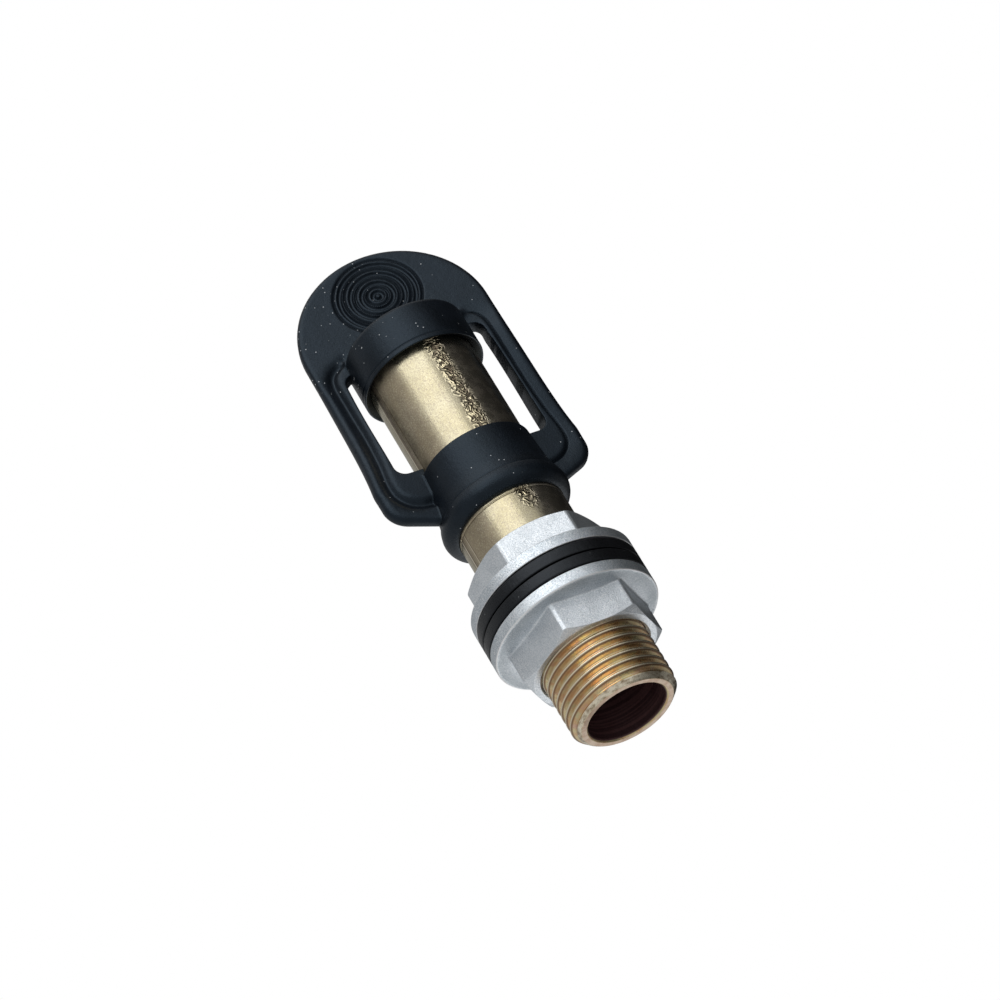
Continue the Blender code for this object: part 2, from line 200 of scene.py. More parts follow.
# Centre contact
SPRING_R = 3.3
SPRING_WIRE = 0.35
SPRING_TURNS = 5
SPRING_EASE = 0.55  # how flat the end turns lie
ORING_R = 7.6
ORING_WIRE = 0.8
ORING_Z = 89.1
SLEEVE_R = 8.45
SLEEVE_BORE_R = 4.6
NOSE_HOLE_R = 3.0
STEP_Z = 94.0  # the plunger's shoulder rests under this step
COLLAR_LOW_Z = 91.0  # lower face of the plunger's collar
BASE_STEP_Z = 78.0  # the base is narrower above this height
POST_HOLE_R = 1.9
POST_HEAD_Z = 72.6  # upper face of the post's head
POST_COLLAR_Z = (81.3, 83.0)


# ---- Mesh helpers ----

def linked(name, data):
    """A new object in the scene."""
    obj = bpy.data.objects.new(name, data)
    bpy.context.scene.collection.objects.link(obj)
    return obj


def mesh_object(name, bm):
    """A bmesh as an object in the scene; frees the bmesh."""
    mesh = bpy.data.meshes.new(name)
    bm.to_mesh(mesh)
    bm.free()
    return linked(name, mesh)


def piece(name, bm, node, material, angle=35):
    """Turns a bmesh drawn in millimetres into a finished piece that stands for one CAD node."""
    bmesh.ops.remove_doubles(bm, verts=bm.verts, dist=1e-5)
    bmesh.ops.recalc_face_normals(bm, faces=bm.faces)
    obj = mesh_object(name, bm)
    obj.data.transform(Matrix.Scale(MM, 4))
    obj.data.shade_smooth()
    obj.data.set_sharp_from_angle(angle=math.radians(angle))
    obj.data.materials.append(material)
    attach(obj, frame["nodes"][node]["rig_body"])
    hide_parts(node)
    return obj


def rounded(points, closed=False, steps=5):
    """Points of a profile given as (r, z, rounding), each corner rounded by that length."""
    corners = [Vector(p[:2]) for p in points]
    result = []
    count = len(points)
    for i, corner in enumerate(corners):
        reach = points[i][2] if len(points[i]) > 2 else 0.0
        if reach == 0 or (not closed and i in (0, count - 1)):
            result.append(tuple(corner))
            continue
        before, after = corners[i - 1], corners[(i + 1) % count]
        reach = min(reach, (before - corner).length * 0.49, (after - corner).length * 0.49)
        start = corner + (before - corner).normalized() * reach
        end = corner + (after - corner).normalized() * reach
        for k in range(steps + 1):
            t = k / steps
            result.append(tuple(start * (1 - t) ** 2 + corner * 2 * t * (1 - t) + end * t * t))
    return result


def circle_points(centre, radius, start, end, steps):
    """Points along an arc, both ends included; angles in radians."""
    return [(centre[0] + radius * math.cos(start + (end - start) * k / steps),
             centre[1] + radius * math.sin(start + (end - start) * k / steps))
            for k in range(steps + 1)]


def lathe(profile, closed=True, facets=128):
    """A profile of (radius, z) points spun round +Z."""
    bm = bmesh.new()
    rings = []
    for r, z in profile:
        if r < 1e-6:
            rings.append([bm.verts.new((0, 0, z))] * facets)
        else:
            rings.append([bm.verts.new((r * math.cos(TAU * j / facets),
                                        r * math.sin(TAU * j / facets), z)) for j in range(facets)])
    pairs = list(zip(rings, rings[1:]))
    if closed:
        pairs.append((rings[-1], rings[0]))
    for lower, upper in pairs:
        bridge(bm, lower, upper)
    return bm


def bridge(bm, lower, upper):
    """Faces between two rings of the same count; a ring may be one repeated vertex."""
    count = len(lower)
    for j in range(count):
        k = (j + 1) % count
        corners = list(dict.fromkeys((lower[j], lower[k], upper[k], upper[j])))
        if len(corners) > 2:
            bm.faces.new(corners)


def thread_depth(z, angle):
    """Depth of the external thread's form under its crest, at a height and an angle."""
    share = ((z - THREAD_LOW) / PITCH - (angle - THREAD_AZIMUTH) / TAU) % 1.0
    stations = [s for s, _ in THREAD_FORM] + [1.0]
    depths = [d for _, d in THREAD_FORM] + [THREAD_FORM[0][1]]
    return THREAD_DEPTH * float(np.interp(share, stations, depths))


def tube_radius(z, angle):
    """Outer radius of the threaded end: thread, run-out into the plain tube and end chamfer."""
    fade = min(1.0, max(0.0, (THREAD_HIGH - z) / THREAD_RUNOUT))
    return min(TUBE_R - thread_depth(z, angle) * fade, END_R + z)


def helical_skin(bm, angles, low, high, radius):
    """A surface whose rows follow the thread; returns its lowest and highest rings.

    Each column climbs at one angle, and after a full turn a row is one pitch higher. Vertices
    past an end fall on that end's ring.
    """
    bottom = [bm.verts.new((radius(low, a) * math.cos(a), radius(low, a) * math.sin(a), low))
              for a in angles]
    top = [bm.verts.new((radius(high, a) * math.cos(a), radius(high, a) * math.sin(a), high))
           for a in angles]
    points = len(THREAD_FORM)
    first = math.floor((low - THREAD_LOW) / PITCH) - 2
    last = math.ceil((high - THREAD_LOW) / PITCH) + 2
    grid = []
    for row in range(first * points, last * points + 1):
        turn, step = divmod(row, points)
        line = []
        for j, angle in enumerate(angles):
            z = THREAD_LOW + PITCH * (turn + THREAD_FORM[step][0] + (angle - THREAD_AZIMUTH) / TAU)
            if z <= low + 1e-6:
                line.append(bottom[j])
            elif z >= high - 1e-6:
                line.append(top[j])
            else:
                r = radius(z, angle)
                line.append(bm.verts.new((r * math.cos(angle), r * math.sin(angle), z)))
        grid.append(line)
    count = len(angles)
    for i in range(len(grid) - 1):
        for j in range(count):
            if j + 1 < count:
                right = (grid[i][j + 1], grid[i + 1][j + 1])
            elif i + points + 1 < len(grid):
                right = (grid[i + points][0], grid[i + points + 1][0])
            else:
                right = (top[0], top[0])
            corners = list(dict.fromkeys((grid[i][j], right[0], right[1], grid[i + 1][j])))
            if len(corners) > 2 and not bm.faces.get(corners):
                bm.faces.new(corners)
    return bottom, top


def ring_at(bm, angles, r, z):
    """A level ring of new vertices."""
    return [bm.verts.new((r * math.cos(a), r * math.sin(a), z)) for a in angles]


# ---- Material helpers ----

def add(tree, kind, inputs=None, **settings):
    """One shader node with its settings and inputs; an input is a value or another node's socket."""
    node = tree.nodes.new("ShaderNode" + kind)
    for key, value in settings.items():
        setattr(node, key, value)
    for key, value in (inputs or {}).items():
        if isinstance(value, bpy.types.NodeSocket):
            tree.links.new(value, node.inputs[key])
        else:
            node.inputs[key].default_value = value
    return node


def surface(name, **uniform):
    """A material with its uniform values set; returns it, its tree and millimetre coordinates."""
    material = bpy.data.materials.new(name)
    material.use_nodes = True
    tree = material.node_tree
    for key, value in uniform.items():
        tree.nodes["Principled BSDF"].inputs[key.replace("_", " ")].default_value = value
    place = add(tree, "TexCoord").outputs["Object"]
    scaled = add(tree, "VectorMath", {0: place, 3: 1 / MM}, operation="SCALE")
    return material, tree, scaled.outputs[0]


def coat(material, **sockets):
    """Links the sockets to the material's shader; returns the material."""
    tree = material.node_tree
    for key, socket in sockets.items():
        tree.links.new(socket, tree.nodes["Principled BSDF"].inputs[key.replace("_", " ")])
    return material


def noise(tree, where, scale, detail=3.0, roughness=0.5, stretch=None, distortion=0.0):
    """Noise with `scale` features to a millimetre, stretched by dividing one axis."""
    if stretch:
        where = add(tree, "VectorMath", {0: where, 1: stretch}, operation="MULTIPLY").outputs[0]
    return add(tree, "TexNoise", {"Vector": where, "Scale": scale, "Detail": detail,
                                  "Roughness": roughness, "Distortion": distortion}).outputs["Fac"]


def spread(tree, value, low, high, out_low=0.0, out_high=1.0):
    """Maps a value's range from low..high to out_low..out_high, clamped and smooth."""
    return add(tree, "MapRange", {"Value": value, "From Min": low, "From Max": high, "To Min": out_low,
                                  "To Max": out_high}, interpolation_type="SMOOTHSTEP").outputs[0]


def mix(tree, share, first, second):
    """Mixes two colours; each is a tuple or a socket."""
    return add(tree, "Mix", {0: share, 6: first, 7: second}, data_type="RGBA").outputs[2]


def calculate(tree, operation, first, second):
    """One step of arithmetic on two values or sockets."""
    return add(tree, "Math", {0: first, 1: second}, operation=operation).outputs[0]


def product(tree, first, second):
    """Two masks multiplied."""
    return calculate(tree, "MULTIPLY", first, second)


def away_from(tree, value, centre):
    """How far a value is from a centre, on either side."""
    return calculate(tree, "ABSOLUTE", calculate(tree, "SUBTRACT", value, centre), 0.0)


def axis_radius(tree, where):
    """Distance from the tube's axis, in millimetres."""
    flat = add(tree, "VectorMath", {0: where, 1: (1, 1, 0)}, operation="MULTIPLY").outputs[0]
    return add(tree, "VectorMath", {0: flat}, operation="LENGTH").outputs["Value"]


def bump(tree, height, distance, normal=None):
    """Bump from a height of 0..1 that stands for `distance` millimetres."""
    inputs = {"Height": height, "Distance": distance * MM, "Strength": 1.0}
    if normal:
        inputs["Normal"] = normal
    return add(tree, "Bump", inputs).outputs["Normal"]


def rgb(red, green, blue):
    """An opaque colour."""
    return (red, green, blue, 1.0)


# ---- Materials ----

def plain_plate(tree, where, grain, streaks, marks):
    """Champagne plate of the plain tube: clouds, streaks and grain, then its marks."""
    cloud = noise(tree, where, 0.10, 3.0)
    plain = mix(tree, spread(tree, cloud, 0.35, 0.68), rgb(0.50, 0.445, 0.285), rgb(0.55, 0.505, 0.355))
    plain = mix(tree, spread(tree, streaks, 0.45, 0.75, 0.0, 0.35), plain, rgb(0.38, 0.33, 0.26))
    plain = mix(tree, spread(tree, grain, 0.48, 0.66, 0.0, 0.8), plain, rgb(0.36, 0.31, 0.25))
    plain = mix(tree, spread(tree, grain, 0.46, 0.30, 0.0, 0.5), plain, rgb(0.66, 0.62, 0.50))

    brown = product(tree, marks["stain"], spread(tree, grain, 0.30, 0.55))
    plain = mix(tree, brown, plain, rgb(0.34, 0.27, 0.20))
    # painted reflection: the dark side tinted neutral purple-grey
    plain = mix(tree, marks["reflection_tint"], plain, rgb(0.48, 0.43, 0.42))

    lined, lines = marks["lined"], marks["lines"]
    # the drawing lines: a painted highlight along each, painted shade beside it
    plain = mix(tree, product(tree, lined, spread(tree, lines, 0.56, 0.64)), plain, rgb(0.90, 0.82, 0.66))
    plain = mix(tree, product(tree, lined, spread(tree, lines, 0.46, 0.38)), plain, rgb(0.22, 0.17, 0.12))

    wrinkled, curl = marks["wrinkled"], marks["curl"]
    # painted highlights on the wrinkles' curls, then painted shade between them
    crest = product(tree, wrinkled, spread(tree, curl, 0.3, 0.8, 0.0, 0.95))
    plain = mix(tree, crest, plain, rgb(0.98, 0.86, 0.58))
    hollow = product(tree, wrinkled, spread(tree, curl, 0.1, -0.6, 0.0, 0.75))
    return mix(tree, hollow, plain, rgb(0.18, 0.13, 0.09))


def tube_marks(tree, where, turn, height):
    """Masks and patterns of the marks that lie along one side or another of the plain tube."""
    swirl = noise(tree, where, 0.62, 1.0, 0.4, distortion=0.8)
    curl = calculate(tree, "SINE", product(tree, swirl, 26.0), 0.0)
    ragged = product(tree, noise(tree, where, 0.45, 2.0), 0.16)
    band = calculate(tree, "ADD", away_from(tree, turn, WRINKLE_ANGLE), ragged)
    return {
        "stain": spread(tree, away_from(tree, turn, STAIN_ANGLE), 0.50, 0.25, 0.0, 0.65),
        "reflection_tint": spread(tree, away_from(tree, turn, REFLECTION_TINT_ANGLE), 0.75, 0.40, 0.0, 0.4),
        "lined": spread(tree, away_from(tree, turn, DRAWN_ANGLE), 0.16, 0.10),
        "lines": noise(tree, where, 2.2, 1.0, stretch=(1, 1, 0.003)),
        "wrinkled": product(tree, spread(tree, band, 0.27, 0.11), spread(tree, height, *WRINKLE_Z)),
        "curl": curl}


def thread_plate(tree, where, radius, height):
    """Golden plate of the thread, with painted shadow in its roots, worn crests, rubbed chamfer and bare
    end face.
    """
    tint = noise(tree, where, 0.30, 4.0, stretch=(1, 1, 1.6), distortion=0.6)
    gold = mix(tree, spread(tree, tint, 0.38, 0.62), rgb(0.70, 0.46, 0.25), rgb(0.74, 0.62, 0.36))
    rose = noise(tree, where, 0.5, 2.0, stretch=(1, 1, 2.0))
    gold = mix(tree, spread(tree, rose, 0.56, 0.72, 0.0, 0.6), gold, rgb(0.67, 0.41, 0.34))
    gold = mix(tree, spread(tree, rose, 0.44, 0.30, 0.0, 0.5), gold, rgb(0.58, 0.58, 0.36))
    # painted shadow darkens the thread's roots
    shade = spread(tree, radius, TUBE_R - 0.55, TUBE_R - 0.28)
    thread = mix(tree, product(tree, shade, 0.85), gold, rgb(0.22, 0.12, 0.07))
    worn = spread(tree, radius, TUBE_R - 0.17, TUBE_R - 0.06)
    thread = mix(tree, worn, thread, rgb(0.86, 0.77, 0.58))

    cone = spread(tree, calculate(tree, "SUBTRACT", radius, height), END_R - 0.10, END_R - 0.04)
    rubbed = noise(tree, where, 0.55, 4.0, 0.6, stretch=(1, 1, 3))
    chamfer = mix(tree, spread(tree, rubbed, 0.30, 0.60), rgb(0.32, 0.23, 0.14), rgb(0.94, 0.86, 0.68))
    thread = mix(tree, cone, thread, chamfer)
    face = spread(tree, height, 0.03, 0.0)
    bare = mix(tree, spread(tree, rubbed, 0.35, 0.65), rgb(0.33, 0.235, 0.17), rgb(0.42, 0.335, 0.26))
    return mix(tree, face, thread, bare)


def plated_tube():
    """Yellow zinc plate: champagne on the plain tube, golden on the thread, painted shade in the bore."""
    material, tree, where = surface("yellow_zinc_plate")
    parts = add(tree, "SeparateXYZ", {0: where}).outputs
    height = parts["Z"]
    radius = axis_radius(tree, where)
    turn = calculate(tree, "ARCTAN2", parts["Y"], parts["X"])
    in_bore = product(tree, spread(tree, radius, BORE_R + 0.3, BORE_R + 0.1),
                      spread(tree, height, *BORE_DARK_Z))
    grain = noise(tree, where, 3.6, 2.0, 0.6)
    streaks = noise(tree, where, 1.6, 4.0, stretch=(1, 1, 0.05))
    marks = tube_marks(tree, where, turn, height)

    plain = plain_plate(tree, where, grain, streaks, marks)
    thread = thread_plate(tree, where, radius, height)
    outside = mix(tree, spread(tree, height, *GOLD_Z), thread, plain)
    rings = noise(tree, where, 1.6, 2.0, stretch=(0.02, 0.02, 1))
    # painted shade: the bore's inside made dark red-brown, over fine turned rings
    bore = mix(tree, spread(tree, rings, 0.40, 0.60), rgb(0.045, 0.018, 0.020), rgb(0.10, 0.045, 0.045))
    colour = mix(tree, in_bore, outside, bore)
    metal = spread(tree, in_bore, 0.0, 1.0, 1.0, 0.3)

    polish = spread(tree, noise(tree, where, 0.5, 4.0), 0.3, 0.7, 0.20, 0.32)
    polish = calculate(tree, "ADD", polish, product(tree, in_bore, 0.25))
    polish = calculate(tree, "ADD", polish, product(tree, marks["stain"], 0.28))

    normal = bump(tree, noise(tree, where, 1.1, 2.0, 0.5, distortion=1.2), 0.022)
    normal = bump(tree, grain, 0.014, normal)
    normal = bump(tree, streaks, 0.012, normal)
    normal = bump(tree, product(tree, marks["wrinkled"], marks["curl"]), 0.18, normal)
    normal = bump(tree, product(tree, marks["lined"], marks["lines"]), 0.10, normal)
    return coat(material, Base_Color=colour, Metallic=metal, Roughness=polish, Normal=normal)


def cast_zinc():
    """Grey die-cast nuts: a sparkling grain of light and dark points over faint clouds."""
    material, tree, where = surface("cast_zinc", Metallic=0.92)
    cloud = noise(tree, where, 0.22, 4.0)
    grain = noise(tree, where, 4.0, 4.0, 0.65)
    colour = mix(tree, spread(tree, cloud, 0.35, 0.65), rgb(0.58, 0.64, 0.69), rgb(0.72, 0.78, 0.83))
    colour = mix(tree, spread(tree, grain, 0.52, 0.64, 0.0, 0.9), colour, rgb(0.98, 0.99, 1.0))
    colour = mix(tree, spread(tree, grain, 0.48, 0.36, 0.0, 0.65), colour, rgb(0.30, 0.35, 0.39))

    # the hexagon is painted a little brighter as painted light, the flange's sloped face darker as
    # painted shade, and its edge bright, partly wear and partly a painted highlight
    radius = axis_radius(tree, where)
    off_panel = away_from(tree, add(tree, "SeparateXYZ", {0: where}).outputs["Z"], PANEL_Z)
    hexagon = spread(tree, off_panel, *HEX_START)
    # painted light: the hexagon's faces made brighter
    colour = mix(tree, product(tree, hexagon, 0.25), colour, rgb(0.95, 0.97, 1.0))
    # painted shade on the flange's sloped face towards the hexagon
    sloped = product(tree, spread(tree, off_panel, HEX_START[1], HEX_START[0], 0.0, 0.45),
                     spread(tree, radius, FLANGE_R - 0.35, FLANGE_R - 0.8))
    colour = mix(tree, sloped, colour, rgb(0.28, 0.31, 0.33))
    # the flange's edge made bright: partly wear, partly a painted highlight
    worn = product(tree, spread(tree, radius, FLANGE_R - 0.42, FLANGE_R - 0.22),
                   spread(tree, radius, FLANGE_R - 0.02, FLANGE_R - 0.08))
    colour = mix(tree, product(tree, worn, 0.8), colour, rgb(1.0, 1.0, 1.0))
    polish = spread(tree, grain, 0.3, 0.7, 0.46, 0.30)
    normal = bump(tree, cloud, 0.12, bump(tree, grain, 0.09))
    return coat(material, Base_Color=colour, Roughness=polish, Normal=normal)


def rubber(name, base, tint, roughness, specks):
    """Moulded black rubber with a fine skin; `specks` is how much pale dust lies on it."""
    material, tree, where = surface(name, Specular_IOR_Level=0.37, Specular_Tint=tint)
    cloud = noise(tree, where, 0.16, 4.0, 0.6)
    skin = noise(tree, where, 4.0, 3.0, 0.6)
    dark = tuple(0.65 * c for c in base) + (1.0,)
    light = tuple(1.35 * c for c in base) + (1.0,)
    colour = mix(tree, spread(tree, cloud, 0.32, 0.68), dark, light)

    # dust: spots in some of the cells of a pattern, in more of them on the tab's -X side
    parts = add(tree, "SeparateXYZ", {0: where}).outputs
    dusty = product(tree, spread(tree, parts["X"], 4.0, -10.0, 0.0, 0.34),
                    spread(tree, parts["Z"], 92.0, 102.0))
    cells = add(tree, "TexVoronoi", {"Vector": where, "Scale": 1.1, "Randomness": 1.0})
    spot = spread(tree, cells.outputs["Distance"], 0.17, 0.08)
    chance = add(tree, "SeparateColor", {0: cells.outputs["Color"]}).outputs[0]
    pick = spread(tree, calculate(tree, "ADD", chance, dusty), 0.93, 0.95)
    dust = product(tree, product(tree, spot, pick), specks)
    colour = mix(tree, dust, colour, rgb(0.60, 0.62, 0.64))
    polish = spread(tree, skin, 0.3, 0.7, roughness - 0.09, roughness + 0.09)
    normal = bump(tree, noise(tree, where, 0.9, 4.0, 0.6), 0.07, bump(tree, skin, 0.05))
    return coat(material, Base_Color=colour, Roughness=polish, Normal=normal)


def moulded_plastic():
    """Black moulded plastic with faint clouds."""
    material, tree, where = surface("black_plastic_moulded")
    cloud = noise(tree, where, 0.5, 3.0)
    colour = mix(tree, cloud, rgb(0.022, 0.022, 0.024), rgb(0.045, 0.045, 0.05))
    polish = spread(tree, cloud, 0.3, 0.7, 0.32, 0.46)
    normal = bump(tree, noise(tree, where, 4.0, 3.0), 0.012)
    return coat(material, Base_Color=colour, Roughness=polish, Normal=normal)


def turned_metal(name, light, dark, roughness):
    """Turned or drawn metal: fine rings round the axis and a light tarnish."""
    material, tree, where = surface(name, Metallic=1.0)
    cloud = noise(tree, where, 0.6, 4.0)
    rings = noise(tree, where, 6.0, 2.0, stretch=(0.15, 0.15, 1.5))
    colour = mix(tree, spread(tree, cloud, 0.35, 0.7), light, dark)
    polish = spread(tree, cloud, 0.3, 0.7, roughness - 0.05, roughness + 0.08)
    return coat(material, Base_Color=colour, Roughness=polish, Normal=bump(tree, rings, 0.010))


ZINC_YELLOW = plated_tube()
ZINC_GREY = cast_zinc()
CAP_RUBBER = rubber("cap_rubber_moulded", (0.0036, 0.0052, 0.0080), rgb(0.60, 0.80, 1.0), 0.34, 1.0)
SEAL_RUBBER = rubber("seal_rubber_smooth", (0.0040, 0.0042, 0.0048), rgb(0.80, 0.89, 1.0), 0.33, 0.5)
PLASTIC = moulded_plastic()
BRASS = turned_metal("brass_turned", rgb(0.80, 0.62, 0.28), rgb(0.60, 0.42, 0.18), 0.25)
STEEL = turned_metal("spring_steel_drawn", rgb(0.50, 0.51, 0.53), rgb(0.34, 0.35, 0.37), 0.30)
TINNED = turned_metal("brass_tinned", rgb(0.74, 0.74, 0.72), rgb(0.58, 0.57, 0.54), 0.28)


# ---- Tube, nuts and seals ----

def spigot_tube():
    """The threaded tube with its end chamfers, turned mark, rolled lip and bore."""
    bm = bmesh.new()
    angles = [TAU * j / TUBE_FACETS for j in range(TUBE_FACETS)]
    start, end = helical_skin(bm, angles, THREAD_LOW, THREAD_HIGH, tube_radius)
    groove_r, groove_low, groove_high = CLIP_GROOVE
    outline = rounded([
        (TUBE_R, THREAD_HIGH + 0.4), (TUBE_R, MARK_Z - MARK_HALF, 0.1),
        (TUBE_R - MARK_DEPTH, MARK_Z, 0.1), (TUBE_R, MARK_Z + MARK_HALF, 0.1),
        (TUBE_R, TUBE_TOP, 1.0), (LIP_R, TUBE_TOP, 0.35),
        (LIP_R, TUBE_TOP - LIP_DEPTH, 0.1), (BORE_R, TUBE_TOP - LIP_DEPTH, 0.1),
        (BORE_R, groove_high, 0.05), (groove_r, groove_high, 0.05), (groove_r, groove_low, 0.05),
        (BORE_R, groove_low, 0.05), (BORE_R, 0.45, 0.15), (BORE_R + 0.45, 0.0, 0.12),
        (END_R - 0.05, 0.0, 0.15), (END_R + 0.1, THREAD_LOW * 0.5)])
    rings = [end] + [ring_at(bm, angles, r, z) for r, z in outline] + [start]
    for lower, upper in zip(rings, rings[1:]):
        bridge(bm, lower, upper)
    return piece("tube_threaded", bm, "spigot_tube", ZINC_YELLOW, 40)


def hexagon_angles():
    """Angles of the nut's columns from a corner, close together at the corners."""
    sector = (0, 0.6, 1.3, 2.2, 4, 7, 11, 15, 20, 25, 30, 35, 40, 45, 49, 53, 56, 57.8, 58.7, 59.4)
    return [math.radians(60 * side + step) for side in range(6) for step in sector]


def hexagon_radius(angle):
    """Radius of the hexagon's side at an angle from one of its corners."""
    off = (angle % math.radians(60)) - math.radians(30)
    return min(NUT_FLAT_R / math.cos(off), NUT_CORNER_R)


def nut_column(side_r):
    """The nut's outer profile on one column, from the flange's face to the hexagon's end."""
    def flange_z(r):
        return FLANGE_RIM + (FLANGE_R - 0.5 - r) * FLANGE_RISE

    def crown_z(r):
        return NUT_H - max(0.0, r - NUT_CHAMFER_R) * math.tan(NUT_CHAMFER)

    return rounded([
        (NUT_MOUTH_R, 0.0, 0.1), (FLANGE_R, 0.0, 0.25), (FLANGE_R, FLANGE_RIM, 0.32),
        (side_r, flange_z(side_r), 0.5), (side_r, crown_z(side_r), 0.16),
        (min(side_r - 0.3, NUT_CHAMFER_R), crown_z(min(side_r - 0.3, NUT_CHAMFER_R)), 0.15),
        (NUT_MOUTH_R + 0.05, NUT_H, 0.1)], steps=4)


def flange_nut(name, node, turn, flange_up):
    """A flange nut with its internal thread; `turn` is the azimuth of one of its corners."""
    low, high = cad_range(node)
    face_z, direction = (high, -1) if flange_up else (low, 1)
    bm = bmesh.new()
    offsets = hexagon_angles()
    angles = [turn + a for a in offsets]

    def bore_radius(z, angle):
        """Follows the thread; the fixed nut also follows its run-out, which the other never reaches."""
        male = TUBE_R - thread_depth(z, angle) if flange_up else tube_radius(z, angle)
        cone = NUT_MOUTH_R - min(z - low, high - z)
        return max(male + NUT_THREAD_CLEARANCE, NUT_MINOR_R, cone)

    bottom, top = helical_skin(bm, angles, low, high, bore_radius)
    columns = [nut_column(hexagon_radius(a)) for a in offsets]
    rows = []
    for k in range(len(columns[0])):
        rows.append([bm.verts.new((col[k][0] * math.cos(a), col[k][0] * math.sin(a),
                                   face_z + direction * col[k][1]))
                     for a, col in zip(angles, columns)])
    first, last = (top, bottom) if flange_up else (bottom, top)
    rings = [first] + rows + [last]
    for lower, upper in zip(rings, rings[1:]):
        bridge(bm, lower, upper)
    return piece(name, bm, node, ZINC_GREY, 28)


def seal(name, node):
    """A flat rubber ring with rounded edges."""
    low, high = cad_range(node)
    outer = cad_radius(node)
    inner = TUBE_R + 0.1
    profile = rounded([(inner, low, 0.2), (outer, low, 0.35), (outer, high, 0.35), (inner, high, 0.2)],
                      closed=True)
    return piece(name, lathe(profile), node, SEAL_RUBBER)


# ---- Rubber cap ----

def smooth_path(points, spacing):
    """A Catmull-Rom curve through the points, cut into steps of about one spacing."""
    pts = [np.array(p, float) for p in points]
    pts = [2 * pts[0] - pts[1]] + pts + [2 * pts[-1] - pts[-2]]
    result = []
    for a, b, c, d in zip(pts, pts[1:], pts[2:], pts[3:]):
        steps = max(2, round(float(np.linalg.norm(c - b)) / spacing))
        for k in range(steps):
            t = k / steps
            result.append(0.5 * (2 * b + (c - a) * t + (2 * a - 5 * b + 4 * c - d) * t * t
                                 + (3 * b - a - 3 * c + d) * t ** 3))
    result.append(pts[-2])
    return np.array(result)


def resample(loop, spacing):
    """A closed loop of points moved to even steps of about one spacing."""
    loop = np.array(loop, float)
    ends = np.vstack([loop, loop[:1]])
    along = np.concatenate([[0], np.cumsum(np.linalg.norm(np.diff(ends, axis=0), axis=1))])
    marks = np.linspace(0, along[-1], max(8, round(along[-1] / spacing)), endpoint=False)
    return np.column_stack([np.interp(marks, along, ends[:, 0]), np.interp(marks, along, ends[:, 1])])


def offset_line(line, distance, closed=True):
    """A line moved sideways, to the left of its direction."""
    if closed:
        tangent = np.roll(line, -1, axis=0) - np.roll(line, 1, axis=0)
    else:
        tangent = np.gradient(line, axis=0)
    tangent = tangent / np.linalg.norm(tangent, axis=1)[:, None]
    return line + distance * np.column_stack([-tangent[:, 1], tangent[:, 0]])


def line_distance(points, line, closed=True):
    """Shortest distance from each point to a line of segments."""
    ends = np.roll(line, -1, axis=0) if closed else line[1:]
    starts = line if closed else line[:-1]
    best = np.full(len(points), 1e9)
    for a, b in zip(starts, ends):
        d = b - a
        t = np.clip(((points - a) @ d) / max(float(d @ d), 1e-12), 0, 1)
        best = np.minimum(best, np.linalg.norm(points - a - t[:, None] * d, axis=1))
    return best


def inside(points, loop):
    """Which points lie inside a closed loop."""
    x, z = points[:, 0], points[:, 1]
    result = np.zeros(len(points), bool)
    for (x0, z0), (x1, z1) in zip(loop, np.roll(loop, -1, axis=0)):
        if z0 == z1:
            continue
        crosses = (z0 > z) != (z1 > z)
        result ^= crosses & (x < (x1 - x0) * (z - z0) / (z1 - z0) + x0)
    return result


def tab_outline():
    """The cap's flat outline, anticlockwise: foot, corner, flared side, round top and its mirror."""
    corner = circle_points(TAB_CORNER, TAB_CORNER_R, TAB_FOOT_ANGLE, math.radians(4), 12)
    side = []
    for z in np.linspace(TAB_FLARE_Z - 0.5, TAB_TOP_Z - 1.5, 20):
        share = (TAB_TOP_Z - z) / (TAB_TOP_Z - TAB_FLARE_Z)
        side.append((TAB_TOP_R + TAB_FLARE * share ** TAB_FLARE_POWER, z))
    top = circle_points((0, TAB_TOP_Z), TAB_TOP_R, 0.0, math.pi / 2, 30)
    right = [(0.0, TAB_FOOT_Z), (13.0, TAB_FOOT_Z)] + corner + side + top
    left = [(-x, z) for x, z in reversed(right[1:-1])]
    return resample(right + left, 0.5)


def window_outline():
    """The opening between the arms, anticlockwise, a little wider at the bottom."""
    low, high = WINDOW_Z
    r = WINDOW_CORNER_R
    sides = []
    for wide, narrow in (WINDOW_RIGHT, WINDOW_LEFT):
        sides.append(circle_points((wide - r, low + r), r, math.radians(-90), 0, 8)
                     + circle_points((narrow - r, high - r), r, 0, math.radians(90), 8))
    right, left = sides
    return resample(right + [(-x, z) for x, z in reversed(left)], 0.45)


def ring_radius(z):
    """Outer radius of the cap's ring at a height."""
    heights = [p[1] for p in reversed(RING_PROFILE)]
    radii = [p[0] for p in reversed(RING_PROFILE)]
    return np.interp(z, heights, radii)


def fillet(distance, radius):
    """Height of a concave fillet at a distance from the wall it runs up."""
    near = np.clip(radius - distance, 0, radius)
    return radius - np.sqrt(radius ** 2 - near ** 2)


def arm_share(z):
    """1 along the arms, fading to 0 at the ring and at the cup."""
    (low_start, low_end), (high_start, high_end) = ARM_LOW_FADE, ARM_HIGH_FADE
    share = np.clip(np.minimum((z - low_start) / (low_end - low_start),
                               (high_end - z) / (high_end - high_start)), 0, 1)
    return share * share * (3 - 2 * share)


